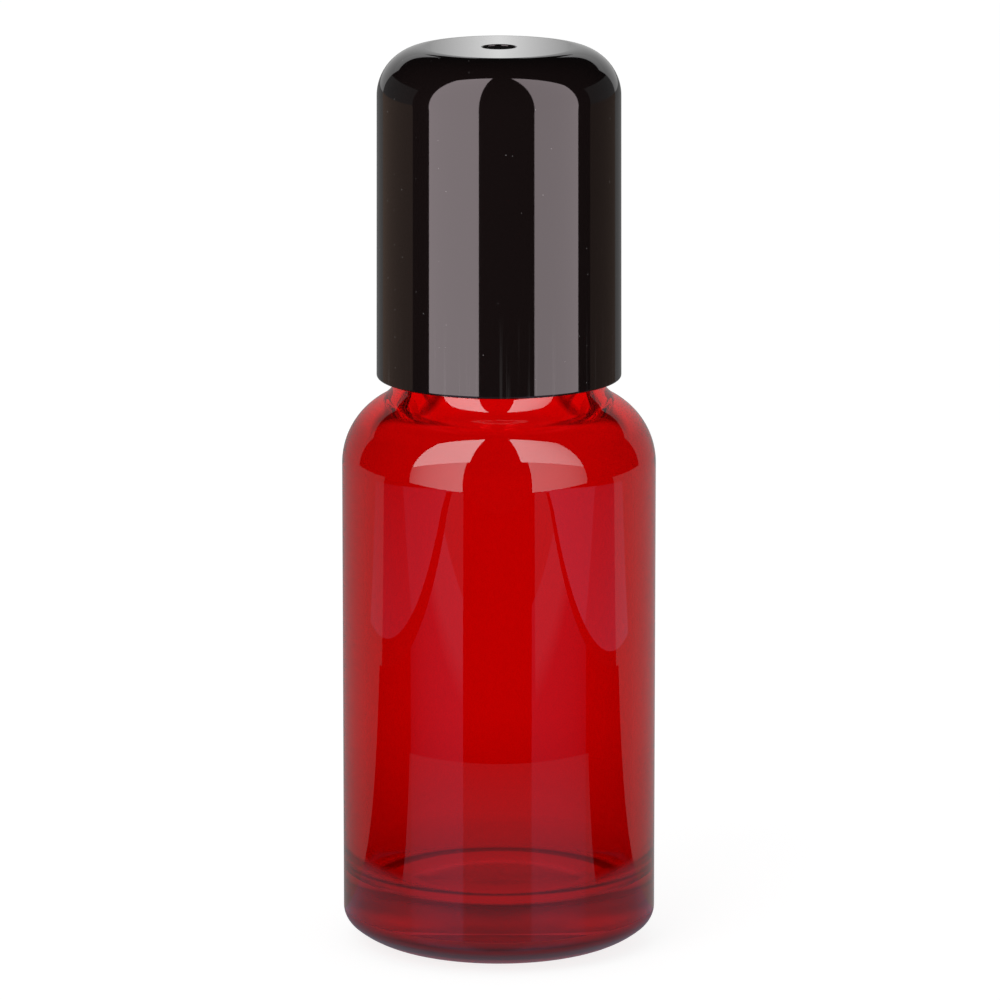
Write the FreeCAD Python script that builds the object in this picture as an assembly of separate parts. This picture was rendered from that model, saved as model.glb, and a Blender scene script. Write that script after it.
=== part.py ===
import FreeCAD, Part
import math
import os

# Roll-on bottle: a lacquered glass bottle, a plug-in roller housing with its ball, and a
# two-piece screw cap with a soft pad that presses the ball down on its seat.
# Millimetres. The bottle stands on z = 0 and every piece is turned about the z axis.

# Glass bottle
BODY_RADIUS = 16.5
BODY_WALL = 2.3
BODY_TOP = 51.5             # height where the straight wall ends and the shoulder begins
SHOULDER_RADIUS = 7.8
HEEL_SIDE_RADIUS = 2.2      # rounding where the wall turns in
HEEL_BASE_RADIUS = 8.5      # slower rounding that runs on to the bearing ring
HEEL_SPLIT = 50.0           # degrees below level where the one rounding becomes the other
RING_WIDTH = 1.4            # flat ring that the bottle stands on
PUSH_UP = 1.2               # hollow of the underside at its middle
BASE_THICKNESS = 6.8
FLOOR_CROWN = 0.7           # rise of the inner floor towards its middle
FLOOR_CORNER = 3.4          # rounding between the inner floor and the wall

# Neck of the bottle
NECK_RADIUS = 8.0           # core under the thread
NECK_WALL = 2.0
NECK_LENGTH = 17.0          # from the end of the neck's root fillet to the rim
NECK_ROOT = 4.0             # fillet between the shoulder and the collar, outside
NECK_ROOT_INNER = 7.4       # fillet between the shoulder and the bore, inside
COLLAR_STAND = 2.5          # how far the transfer collar stands out of the core
COLLAR_ROUND = 0.6          # rounded top edge of the collar
THREAD_HEIGHT = 0.9         # room that the thread takes outside the core
RIM_ROUND = 0.7

# Roller housing
FLANGE_INSET = 0.3          # flange edge inside the neck's outer edge
FLANGE_THICKNESS = 1.1
PLUG_LENGTH = 7.3
PLUG_WALL = 0.9
PLUG_RELIEF = 0.2           # plug to bore between the sealing beads
PLUG_FIT = 0.02             # sealing bead to bore
PLUG_LEAD = 1.0             # tapered end that finds the bore
SEAL_BEADS = 3
SEAL_BEAD_WIDTH = 0.9
CUP_WALL = 0.9
CUP_RISE = 0.15             # height above the rim where the plug's bore opens into the cup
LIP_RISE = 1.9              # cup's lip above the ball's middle
LIP_LAND = 0.35             # flat top of the lip
RIB_COUNT = 6
RIB_WIDTH = 0.8
RIB_REACH = 2.5             # radius of the opening left between the ribs
RIB_FOOT = 1.0              # rib below the lowest point where it holds the ball

# Ball
BALL_OVERHANG = 0.1         # ball wider than the plug's bore, on the radius
BALL_CLEARANCE = 0.08

# Soft pad over the ball
PAD_RADIUS = 4.2
PAD_DEPTH = 1.6
PAD_CROWN = 0.9             # what is left of the pad over the top of the ball
PAD_GAP = 0.05

# Threaded liner of the cap
THREAD_CLEARANCE = 0.25
LINER_WALL = 1.2
LINER_CROWN = 1.2
LINER_RECESS = 2.3          # liner's lower end above the cap's edge
CHAMBER_GAP = 0.6           # around the roller cup
POCKET_GAP = 0.1            # around the pad
POCKET_DEPTH = 1.3
GRIP_RIBS = 12
GRIP_RIB_WIDTH = 1.0
GRIP_RIB_HEIGHT = 1.08
GRIP_FIT = 0.02             # grip ribs to the outer cap's bore

# Outer cap
CAP_DRAFT = 0.1             # skirt wider at its edge than at its top
SKIRT_COVER = 1.1           # cap's edge below the end of the neck's root fillet
CAP_HEADROOM = 6.56         # from the liner's crown up to the cap's ceiling
CAP_CORNER = 5.1
CAP_WALL = 1.3
CAP_TOP_WALL = 1.6
EDGE_ROUND = 0.3
SNAP_HEIGHT = 0.22          # bead that holds the liner in
SNAP_GAP = 0.1              # liner to the bead
STOP_FINS = 8
STOP_FIN_WIDTH = 0.9
STOP_FIN_GAP = 0.4          # fin to the side of the liner's chamber
WELL_RADIUS = 1.95          # moulding gate's well in the top
WELL_DEPTH = 1.8
WELL_EDGE = 0.35
NIB_RADIUS = 0.4            # broken-off gate in the well
NIB_HEIGHT = 1.4

# Heights and radii that follow from the sizes above
split = math.radians(HEEL_SPLIT)
heel_rise = HEEL_SIDE_RADIUS * math.sin(split) + HEEL_BASE_RADIUS * (1 - math.sin(split))
ring_outer = BODY_RADIUS - HEEL_SIDE_RADIUS * (1 - math.cos(split)) - HEEL_BASE_RADIUS * math.cos(split)
shoulder_axis = BODY_RADIUS - SHOULDER_RADIUS


def root_fillet(shoulder_radius, neck_radius, fillet):
    """Centre height of the fillet that touches the shoulder's arc and an upright wall of the neck."""
    across = neck_radius + fillet - shoulder_axis
    return BODY_TOP + math.sqrt((shoulder_radius + fillet) ** 2 - across ** 2)


neck_bore = NECK_RADIUS - NECK_WALL
collar_radius = NECK_RADIUS + COLLAR_STAND
neck_start = root_fillet(SHOULDER_RADIUS, collar_radius, NECK_ROOT)
rim = neck_start + NECK_LENGTH
flange_top = rim + FLANGE_THICKNESS
flange_radius = NECK_RADIUS - FLANGE_INSET

plug_radius = neck_bore - PLUG_RELIEF
plug_bore = plug_radius - PLUG_WALL
ball_radius = plug_bore + BALL_OVERHANG
cup_radius = ball_radius + BALL_CLEARANCE
cup_outer = cup_radius + CUP_WALL
ball_z = rim + CUP_RISE + math.sqrt(cup_radius ** 2 - plug_bore ** 2)
lip_z = ball_z + LIP_RISE
pad_top = ball_z + ball_radius + PAD_GAP + PAD_CROWN

liner_bore = NECK_RADIUS + THREAD_HEIGHT + THREAD_CLEARANCE
liner_radius = liner_bore + LINER_WALL
chamber_radius = cup_outer + CHAMBER_GAP
chamber_outer = chamber_radius + LINER_WALL
liner_step = flange_top + LINER_WALL
liner_top = pad_top + LINER_CROWN

cap_edge = neck_start - SKIRT_COVER
cap_top = liner_top + CAP_HEADROOM + CAP_TOP_WALL
cap_bore = liner_radius + GRIP_RIB_HEIGHT + GRIP_FIT
cap_radius = cap_bore + CAP_WALL
liner_end = cap_edge + LINER_RECESS


def point(r, z):
    return FreeCAD.Vector(r, 0, z)


class Profile:
    """A closed outline of straight lines and arcs beside the z axis, turned into a solid."""

    def __init__(self, r, z):
        self.edges = []
        self.start = self.at = (r, z)

    def line(self, r, z):
        if math.hypot(r - self.at[0], z - self.at[1]) > 1e-6:
            self.edges.append(Part.makeLine(point(*self.at), point(r, z)))
        self.at = (r, z)
        return self

    def through(self, middle, end):
        """Arc from the last point through a middle point to an end point."""
        self.edges.append(Part.Arc(point(*self.at), point(*middle), point(*end)).toShape())
        self.at = end
        return self

    def arc(self, centre, radius, first, last):
        """Line to an arc's first angle, then along it. Degrees, counted from level outwards."""
        def on_arc(angle):
            turn = math.radians(angle)
            return (centre[0] + radius * math.cos(turn), centre[1] + radius * math.sin(turn))
        self.line(*on_arc(first))
        return self.through(on_arc((first + last) / 2), on_arc(last))

    def turn(self):
        self.line(*self.start)
        face = Part.Face(Part.Wire(self.edges))
        return face.revolve(point(0, 0), FreeCAD.Vector(0, 0, 1), 360)


def cylinder(radius, low, high):
    return Part.makeCylinder(radius, high - low, point(0, low))


def fin(width, inner, outer, low, high):
    """Upright radial wall that stands on the x side of the axis."""
    return Part.makeBox(outer - inner, width, high - low, FreeCAD.Vector(inner, -width / 2, low))


def around(shape, count):
    """Copies of a shape, evenly spaced about the z axis."""
    copies = []
    for index in range(count):
        copy = shape.copy()
        copy.rotate(point(0, 0), FreeCAD.Vector(0, 0, 1), 360.0 * index / count)
        copies.append(copy)
    return copies


def angle_between(start, end):
    """Direction from one profile point to another, in degrees from level outwards."""
    return math.degrees(math.atan2(end[1] - start[1], end[0] - start[0]))


def dome(half_width, rise, foot):
    """Centre, radius and edge angle of a round dome on the axis that rises from a foot height."""
    radius = (half_width ** 2 + rise ** 2) / (2 * rise)
    centre = (0, foot + rise - radius)
    return centre, radius, angle_between(centre, (half_width, foot))


def glass_bottle():
    shoulder = (shoulder_axis, BODY_TOP)
    root = (collar_radius + NECK_ROOT, neck_start)
    root_turn = angle_between(shoulder, root)
    heel_side = (BODY_RADIUS - HEEL_SIDE_RADIUS, heel_rise)
    centre, radius, edge = dome(ring_outer - RING_WIDTH, PUSH_UP, 0)
    outline = Profile(0, PUSH_UP)
    outline.arc(centre, radius, 90, edge)
    outline.arc((ring_outer, HEEL_BASE_RADIUS), HEEL_BASE_RADIUS, -90, -HEEL_SPLIT)
    outline.arc(heel_side, HEEL_SIDE_RADIUS, -HEEL_SPLIT, 0)
    outline.arc(shoulder, SHOULDER_RADIUS, 0, root_turn)
    outline.arc(root, NECK_ROOT, root_turn - 180, -180)
    outline.arc((collar_radius - COLLAR_ROUND, neck_start), COLLAR_ROUND, 0, 90)
    outline.line(NECK_RADIUS, neck_start + COLLAR_ROUND)
    outline.arc((NECK_RADIUS - RIM_ROUND, rim - RIM_ROUND), RIM_ROUND, 0, 90)

    inner_wall = BODY_RADIUS - BODY_WALL
    inner_shoulder = inner_wall - shoulder_axis
    inner_root = (neck_bore + NECK_ROOT_INNER, root_fillet(inner_shoulder, neck_bore, NECK_ROOT_INNER))
    inner_turn = angle_between(shoulder, inner_root)
    floor_edge = inner_wall - FLOOR_CORNER
    outline.line(neck_bore, rim)
    outline.arc(inner_root, NECK_ROOT_INNER, 180, inner_turn + 180)
    outline.arc(shoulder, inner_shoulder, inner_turn, 0)
    outline.arc((floor_edge, BASE_THICKNESS + FLOOR_CORNER), FLOOR_CORNER, 0, -90)
    centre, radius, edge = dome(floor_edge, FLOOR_CROWN, BASE_THICKNESS)
    outline.arc(centre, radius, edge, 90)
    return outline.turn()


def roller_housing():
    plug_end = rim - PLUG_LENGTH
    seal_radius = neck_bore - PLUG_FIT
    lip_radius = math.sqrt(cup_radius ** 2 - LIP_RISE ** 2)
    cup_low = math.degrees(math.asin((ball_z - rim - CUP_RISE) / cup_radius))
    cup_high = math.degrees(math.asin(LIP_RISE / cup_radius))
    outline = Profile(plug_bore, plug_end)
    outline.line(plug_bore + PLUG_WALL / 2, plug_end)
    outline.line(plug_radius, plug_end + PLUG_LEAD)
    bead_pitch = (PLUG_LENGTH - PLUG_LEAD) / SEAL_BEADS
    for index in range(SEAL_BEADS):
        bead_z = plug_end + PLUG_LEAD + (index + 0.5) * bead_pitch
        outline.line(plug_radius, bead_z - SEAL_BEAD_WIDTH / 2)
        outline.through((seal_radius, bead_z), (plug_radius, bead_z + SEAL_BEAD_WIDTH / 2))
    outline.line(plug_radius, rim)
    outline.line(flange_radius, rim)
    outline.line(flange_radius, flange_top)
    outline.line(cup_outer, flange_top)
    outline.line(cup_outer, ball_z)
    outline.line(lip_radius + LIP_LAND, lip_z)
    outline.arc((0, ball_z), cup_radius, cup_high, -cup_low)
    outline.line(plug_bore, plug_end)
    body = outline.turn()

    # Ribs under the ball: it rests on their hollowed edges and the liquid runs up between them.
    hold_depth = math.sqrt(cup_radius ** 2 - RIB_REACH ** 2)
    rib_low = ball_z - hold_depth - RIB_FOOT
    rib = fin(RIB_WIDTH, RIB_REACH, plug_bore + PLUG_WALL / 2, rib_low, rim)
    ball_room = Part.makeSphere(cup_radius, point(0, ball_z))
    ribs = [copy.cut(ball_room) for copy in around(rib, RIB_COUNT)]
    return body.fuse(ribs).removeSplitter()


def roller_ball():
    return Part.makeSphere(ball_radius, point(0, ball_z))


def ball_seal_pad():
    disc = cylinder(PAD_RADIUS, pad_top - PAD_DEPTH, pad_top)
    return disc.cut(Part.makeSphere(ball_radius + PAD_GAP, point(0, ball_z)))


def cap_liner():
    pocket = PAD_RADIUS + POCKET_GAP
    ceiling = pad_top - POCKET_DEPTH
    outline = Profile(liner_bore, liner_end)
    outline.line(liner_radius, liner_end)
    outline.line(liner_radius, liner_step)
    outline.line(chamber_outer, liner_step)
    outline.line(chamber_outer, liner_top)
    outline.line(0, liner_top)
    outline.line(0, pad_top)
    outline.line(pocket, pad_top)
    outline.line(pocket, ceiling)
    outline.line(chamber_radius, ceiling)
    outline.line(chamber_radius, flange_top)
    outline.line(liner_bore, flange_top)
    sleeve = outline.turn()
    rib_root = liner_radius - LINER_WALL / 2
    rib = fin(GRIP_RIB_WIDTH, rib_root, cap_bore, liner_end, liner_step)
    rib = rib.common(cylinder(liner_radius + GRIP_RIB_HEIGHT, liner_end, liner_step))
    return sleeve.fuse(around(rib, GRIP_RIBS)).removeSplitter()


def outer_cap():
    corner = (cap_radius - CAP_CORNER, cap_top - CAP_CORNER)
    ceiling = cap_top - CAP_TOP_WALL
    inner_corner = CAP_CORNER - CAP_WALL
    snap_z = liner_end - SNAP_GAP - SNAP_HEIGHT
    boss_radius = WELL_RADIUS + CAP_TOP_WALL
    well_floor = cap_top - WELL_DEPTH
    rim_width = cap_radius + CAP_DRAFT - EDGE_ROUND
    outline = Profile(cap_bore, cap_edge)
    outline.arc((rim_width, cap_edge + EDGE_ROUND), EDGE_ROUND, -90, 0)
    outline.arc(corner, CAP_CORNER, 0, 90)
    outline.arc((WELL_RADIUS + WELL_EDGE, cap_top - WELL_EDGE), WELL_EDGE, 90, 180)
    outline.line(WELL_RADIUS, well_floor)
    outline.line(NIB_RADIUS, well_floor)
    outline.line(NIB_RADIUS, well_floor + NIB_HEIGHT)
    outline.line(0, well_floor + NIB_HEIGHT)
    outline.line(0, ceiling - WELL_DEPTH)
    outline.line(boss_radius, ceiling - WELL_DEPTH)
    outline.line(boss_radius, ceiling)
    outline.arc((cap_bore - inner_corner, ceiling - inner_corner), inner_corner, 90, 0)
    outline.arc((cap_bore, snap_z), SNAP_HEIGHT, 90, 270)
    shell = outline.turn()

    # Fins down from the ceiling: they stop on the liner's step when the liner is pressed in.
    fin_inner = chamber_outer + STOP_FIN_GAP
    stop = fin(STOP_FIN_WIDTH, fin_inner, cap_radius - CAP_WALL / 2, liner_step, cap_top - CAP_TOP_WALL / 2)
    room = outer_room()
    fins = [copy.common(room) for copy in around(stop, STOP_FINS)]
    return shell.fuse(fins).removeSplitter()


def outer_room():
    """The space inside the middle of the outer cap's wall, which the fins grow into."""
    half_wall = CAP_WALL / 2
    radius = cap_radius - half_wall
    top = cap_top - CAP_TOP_WALL / 2
    corner = CAP_CORNER - half_wall
    outline = Profile(0, cap_edge)
    outline.line(radius, cap_edge)
    outline.arc((radius - corner, top - corner), corner, 0, 90)
    outline.line(0, top)
    return outline.turn()


os.makedirs("parts", exist_ok=True)
pieces = {
    "glass_bottle": glass_bottle(),
    "roller_housing": roller_housing(),
    "roller_ball": roller_ball(),
    "ball_seal_pad": ball_seal_pad(),
    "cap_liner": cap_liner(),
    "outer_cap": outer_cap(),
}
for name, shape in pieces.items():
    shape.exportStep(os.path.join("parts", name + ".step"))
    box = shape.BoundBox
    print(name, shape.ShapeType, len(shape.Solids), shape.isValid(), round(shape.Volume, 1),
          [round(value, 2) for value in (box.XMax, box.ZMin, box.ZMax)])
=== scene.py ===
import bmesh
import bpy
import math
from mathutils import Matrix, Vector, noise


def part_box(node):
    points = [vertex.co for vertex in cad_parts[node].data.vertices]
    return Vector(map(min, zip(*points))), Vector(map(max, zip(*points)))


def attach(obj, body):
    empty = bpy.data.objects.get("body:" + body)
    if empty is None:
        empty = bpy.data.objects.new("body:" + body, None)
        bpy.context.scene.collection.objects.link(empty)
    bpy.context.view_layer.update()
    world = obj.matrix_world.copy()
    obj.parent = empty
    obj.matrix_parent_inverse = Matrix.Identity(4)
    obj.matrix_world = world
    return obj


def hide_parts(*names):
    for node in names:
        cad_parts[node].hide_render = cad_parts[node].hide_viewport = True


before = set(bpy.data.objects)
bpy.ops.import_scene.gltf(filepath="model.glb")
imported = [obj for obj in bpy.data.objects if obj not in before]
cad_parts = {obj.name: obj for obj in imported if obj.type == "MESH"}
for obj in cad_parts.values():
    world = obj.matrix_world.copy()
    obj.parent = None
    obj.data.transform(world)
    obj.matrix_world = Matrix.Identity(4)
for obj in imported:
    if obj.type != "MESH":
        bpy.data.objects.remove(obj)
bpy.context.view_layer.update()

# Glass bottle: blown clear glass with a heavy base, a hollow underside and a threaded neck.
# Its outside is sprayed with a see-through red lacquer, which ends at the collar, because the neck is
# masked. Round the heel its tint is darkened in a ring, as painted shade at the foot. The underside is
# stippled by the mould, and the floor is uneven.
MM = 0.001
BOTTLE_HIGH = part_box("glass_bottle")[1]
BODY_RADIUS = BOTTLE_HIGH.x / MM
RIM = BOTTLE_HIGH.z / MM
BODY_WALL = 2.3
BODY_TOP = 51.5
SHOULDER_RADIUS = 7.8
HEEL_SIDE_RADIUS = 2.2
HEEL_BASE_RADIUS = 8.5
HEEL_SPLIT = 50.0
RING_WIDTH = 1.4
PUSH_UP = 1.2
BASE_THICKNESS = 6.8
FLOOR_CROWN = 0.7
FLOOR_CORNER = 3.4
NECK_RADIUS = 8.0
NECK_WALL = 2.0
NECK_ROOT = 4.0
NECK_ROOT_INNER = 7.4
COLLAR_STAND = 2.5
COLLAR_ROUND = 0.6
COLLAR_FILLET = 0.4
RIM_ROUND = 0.7
THREAD_HEIGHT = 0.9
THREAD_PITCH = 3.0
THREAD_TURNS = 1.6
THREAD_WIDTH = 1.7
THREAD_RUN_OUT = 0.12
THREAD_DROP = 2.4
THREAD_FLANK = 0.6
WALL_WAVE = 0.03
WAVE_SCALE = 120
ROUND_STEPS = 192
WELD_GAP = 0.002
SAME_RADIUS = 0.01
SHARP_ANGLE = 35
STIPPLE = 0.3
FLOOR_HAZE = 0.16
# Painted shade at the foot: heights and ramp of the darkened ring round the heel, and how dark it is.
HEEL_SHADE_LOW, HEEL_SHADE_HIGH = 1.0, 3.6
HEEL_SHADE_FULL, HEEL_SHADE_END = 0.15, 0.7
HEEL_SHADE_DEPTH = 0.05
SLANT = 0.5
LACQUER_FACING = (0.535, 0.0001, 0.0002, 1.0)
LACQUER_GRAZING = (0.16, 0.0001, 0.0002, 1.0)
LACQUER_THIN = (0.68, 0.0001, 0.0002, 1.0)
THIN_LOW, THIN_HIGH = 55.5, 58.0
BARE_GLASS = (0.97, 0.98, 0.975, 1.0)
GLASS_IOR = 1.52


def bend(centre, radius, first, last, steps=12):
    """Points along an arc of a piece's outline. Degrees, counted from level outwards."""
    turns = [math.radians(first + (last - first) * step / steps) for step in range(steps + 1)]
    return [(centre[0] + radius * math.cos(turn), centre[1] + radius * math.sin(turn)) for turn in turns]


def direction(start, end):
    return math.degrees(math.atan2(end[1] - start[1], end[0] - start[0]))


def upright(radius, low, high, steps):
    """Points up or down a straight wall."""
    return [(radius, low + (high - low) * step / steps) for step in range(steps + 1)]


def dome(half_width, rise, foot, steps=12):
    """Points from the edge of a shallow dome to its top on the axis."""
    radius = (half_width ** 2 + rise ** 2) / (2 * rise)
    centre = (0, foot + rise - radius)
    return bend(centre, radius, direction(centre, (half_width, foot)), 90, steps)


def turn(mesh, outline, material=0, steps=ROUND_STEPS):
    """Spins an outline about the bottle's axis and marks its faces with a material."""
    points = [mesh.verts.new((r * MM, 0, z * MM)) for r, z in outline]
    edges = [mesh.edges.new(pair) for pair in zip(points, points[1:])]
    before = set(mesh.faces)
    bmesh.ops.spin(mesh, geom=points + edges, axis=(0, 0, 1), cent=(0, 0, 0), angle=math.tau,
                   steps=steps, use_merge=True, use_duplicate=False)
    for face in mesh.faces:
        if face not in before:
            face.material_index = material


def finish_piece(node, name, mesh, materials, body):
    """Closes a mesh, makes it an object that rides on its body and hides its CAD node."""
    bmesh.ops.remove_doubles(mesh, verts=mesh.verts, dist=WELD_GAP * MM)
    bmesh.ops.recalc_face_normals(mesh, faces=mesh.faces)
    for face in mesh.faces:
        face.smooth = True
    data = bpy.data.meshes.new(name)
    mesh.to_mesh(data)
    mesh.free()
    data.set_sharp_from_angle(angle=math.radians(SHARP_ANGLE))
    for material in materials:
        data.materials.append(material)
    piece = bpy.data.objects.new(name, data)
    bpy.context.scene.collection.objects.link(piece)
    shading = piece.modifiers.new("even_shading", "WEIGHTED_NORMAL")
    shading.keep_sharp = True
    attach(piece, body)
    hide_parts(node)
    return piece


def new_material(name):
    material = bpy.data.materials.new(name)
    material.use_nodes = True
    return material, material.node_tree, material.node_tree.nodes["Principled BSDF"]


def feed(tree, node, inputs):
    """Sets a node's inputs to values, or links them to sockets."""
    for socket, value in inputs.items():
        if isinstance(value, bpy.types.NodeSocket):
            tree.links.new(value, node.inputs[socket])
        else:
            node.inputs[socket].default_value = value


def add(tree, kind, inputs, **settings):
    """New shader node with its settings and its inputs."""
    made = tree.nodes.new("ShaderNode" + kind)
    for name, value in settings.items():
        setattr(made, name, value)
    feed(tree, made, inputs)
    return made


def worked(tree, operation, *values):
    """Result of a sum or comparison with one or two values."""
    return add(tree, "Math", dict(enumerate(values)), operation=operation).outputs[0]


def mapped(tree, value, low, high, first=0.0, last=1.0, **settings):
    """A value between low and high, brought to the span from first to last."""
    limits = {"Value": value, "From Min": low, "From Max": high, "To Min": first, "To Max": last}
    return add(tree, "MapRange", limits, **settings).outputs[0]


def blended(tree, share, first, second):
    """Mix of two colours."""
    return add(tree, "Mix", {"Factor": share, "A": first, "B": second}, data_type="RGBA").outputs["Result"]


def object_place(tree):
    """Where a point lies on its object."""
    return add(tree, "TexCoord", {}).outputs["Object"]


def noise_over(tree, scale, detail):
    """Noise over an object, from 0 to 1."""
    return add(tree, "TexNoise", {"Vector": object_place(tree), "Scale": scale, "Detail": detail}).outputs[0]


def bumped(tree, height, strength, depth):
    """Normal of a surface with a fine relief."""
    return add(tree, "Bump", {"Height": height, "Strength": strength, "Distance": depth}).outputs[0]


def graded(tree, value, levels):
    """Ramp over a value from 0 to 1, through pairs of a value and its grey level."""
    ramp = add(tree, "ValToRGB", {0: value})
    stops = ramp.color_ramp.elements
    for spot, level in levels[1:-1]:
        stops.new(spot)
    for stop, (spot, level) in zip(stops, levels):
        stop.position = spot
        stop.color = (level, level, level, 1.0)
    return ramp.outputs["Color"]


def root_height(shoulder_radius, neck_radius, fillet):
    """Centre height of the fillet between the shoulder's arc and the neck."""
    across = neck_radius + fillet - shoulder_axis
    return BODY_TOP + math.sqrt((shoulder_radius + fillet) ** 2 - across ** 2)


def thread_stand(x, y, z, start, turns, width):
    """How far a single-start right-hand thread stands out at a point of the wall, from 0 to 1."""
    share = (math.atan2(y, x) / math.tau) % 1.0
    stand = 0.0
    for lap in range(int(turns) + 1):
        along = lap + share
        if along > turns:
            continue
        away = abs(z / MM - start - THREAD_PITCH * along) / (width / 2)
        ends = min(1.0, along / THREAD_RUN_OUT, (turns - along) / THREAD_RUN_OUT)
        flank = max(0.0, min(1.0, (1 - away) / THREAD_FLANK))
        stand = max(stand, flank * flank * (3 - 2 * flank) * ends)
    return stand


def cut_thread(mesh, radius, height, low, high, start, turns, width):
    """Raises a thread on the straight wall of this radius. A negative height points inwards."""
    for vert in mesh.verts:
        x, y, z = vert.co
        if abs(math.hypot(x, y) / MM - radius) < SAME_RADIUS and low < z / MM < high:
            grown = radius + height * thread_stand(x, y, z, start, turns, width)
            vert.co = (x * grown / radius, y * grown / radius, z)


shoulder_axis = BODY_RADIUS - SHOULDER_RADIUS
split = math.radians(HEEL_SPLIT)
heel_rise = HEEL_SIDE_RADIUS * math.sin(split) + HEEL_BASE_RADIUS * (1 - math.sin(split))
ring_outer = BODY_RADIUS - HEEL_SIDE_RADIUS * (1 - math.cos(split)) - HEEL_BASE_RADIUS * math.cos(split)
collar_radius = NECK_RADIUS + COLLAR_STAND
neck_start = root_height(SHOULDER_RADIUS, collar_radius, NECK_ROOT)
neck_bore = NECK_RADIUS - NECK_WALL
thread_start = RIM - THREAD_DROP - THREAD_TURNS * THREAD_PITCH
shoulder = (shoulder_axis, BODY_TOP)
root = (collar_radius + NECK_ROOT, neck_start)
root_turn = direction(shoulder, root)
neck_foot = neck_start + COLLAR_ROUND + COLLAR_FILLET

underside = dome(ring_outer - RING_WIDTH, PUSH_UP, 0)[::-1] + [(ring_outer, 0)]
heel = bend((ring_outer, HEEL_BASE_RADIUS), HEEL_BASE_RADIUS, -90, -HEEL_SPLIT)
heel += bend((BODY_RADIUS - HEEL_SIDE_RADIUS, heel_rise), HEEL_SIDE_RADIUS, -HEEL_SPLIT, 0)[1:]
outside = upright(BODY_RADIUS, heel_rise, BODY_TOP, 24)
outside += bend(shoulder, SHOULDER_RADIUS, 0, root_turn, 24)[1:]
outside += bend(root, NECK_ROOT, root_turn - 180, -180, 20)[1:]
outside += bend((collar_radius - COLLAR_ROUND, neck_start), COLLAR_ROUND, 0, 90, 6)[1:]
neck = [outside[-1]] + bend((NECK_RADIUS + COLLAR_FILLET, neck_foot), COLLAR_FILLET, -90, -180, 5)
neck += upright(NECK_RADIUS, neck_foot, RIM - RIM_ROUND, 130)[1:]
neck += bend((NECK_RADIUS - RIM_ROUND, RIM - RIM_ROUND), RIM_ROUND, 0, 90, 6)[1:]

inner_wall = BODY_RADIUS - BODY_WALL
inner_shoulder = inner_wall - shoulder_axis
inner_root = (neck_bore + NECK_ROOT_INNER, root_height(inner_shoulder, neck_bore, NECK_ROOT_INNER))
inner_turn = direction(shoulder, inner_root)
floor_edge = inner_wall - FLOOR_CORNER
inside = [neck[-1]]
inside += upright(neck_bore, RIM, inner_root[1], 12)
inside += bend(inner_root, NECK_ROOT_INNER, 180, inner_turn + 180)[1:]
inside += bend(shoulder, inner_shoulder, inner_turn, 0, 20)[1:]
inside += upright(inner_wall, BODY_TOP, BASE_THICKNESS + FLOOR_CORNER, 24)[1:]
inner_floor = bend((floor_edge, BASE_THICKNESS + FLOOR_CORNER), FLOOR_CORNER, 0, -90)
inner_floor += dome(floor_edge, FLOOR_CROWN, BASE_THICKNESS)[1:]

glass = bmesh.new()
turn(glass, outside, 0)
turn(glass, neck + inside[1:], 1)
turn(glass, underside + heel[1:], 2)
turn(glass, inner_floor, 3)
cut_thread(glass, NECK_RADIUS, THREAD_HEIGHT, neck_foot, RIM, thread_start, THREAD_TURNS, THREAD_WIDTH)
for vert in glass.verts:
    if abs(math.hypot(vert.co.x, vert.co.y) / MM - inner_wall) < SAME_RADIUS:
        swell = 1 + WALL_WAVE / inner_wall * noise.noise(vert.co * WAVE_SCALE)
        vert.co = (vert.co.x * swell, vert.co.y * swell, vert.co.z)


def clear_through(tree, shader, roughness, tint):
    feed(tree, shader, {"Base Color": tint, "Transmission Weight": 1.0, "Roughness": roughness,
                        "IOR": GLASS_IOR})


def lacquered_glass(name, roughness, heel_shade_depth):
    """Glass with see-through lacquer on it, which looks deeper where it is seen at a slant.
    Where the heel's shade depth is below 1, a ring round the heel is darkened towards black as painted
    shade at the foot. The lacquer is thin on the neck's root."""
    material, tree, shader = new_material(name)
    slant = add(tree, "LayerWeight", {"Blend": SLANT})
    sprayed = blended(tree, slant.outputs["Facing"], LACQUER_FACING, LACQUER_GRAZING)
    height = add(tree, "SeparateXYZ", {0: object_place(tree)}).outputs["Z"]
    on_root = mapped(tree, height, THIN_LOW * MM, THIN_HIGH * MM)
    coat = blended(tree, on_root, sprayed, LACQUER_THIN)
    # Painted shade: a ring round the heel is darkened towards black, near the floor.
    on_heel_shade = mapped(tree, height, HEEL_SHADE_LOW * MM, HEEL_SHADE_HIGH * MM)
    band = graded(tree, on_heel_shade, ((0.0, 1.0), (HEEL_SHADE_FULL, heel_shade_depth), (HEEL_SHADE_END, heel_shade_depth), (1.0, 1.0)))
    shaded_coat = add(tree, "VectorMath", {0: coat, 1: band}, operation="MULTIPLY")
    clear_through(tree, shader, roughness, shaded_coat.outputs[0])
    return material


def bare_glass(name, roughness):
    material, tree, shader = new_material(name)
    clear_through(tree, shader, roughness, BARE_GLASS)
    return material


coats = [lacquered_glass("red_lacquered_glass", 0.0, 1.0), bare_glass("bare_glass", 0.0),
         lacquered_glass("stippled_base_painted_heel_shade", STIPPLE, HEEL_SHADE_DEPTH), bare_glass("uneven_floor", FLOOR_HAZE)]
bottle = finish_piece("glass_bottle", "bottle_glass", glass, coats, "bottle")

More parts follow.
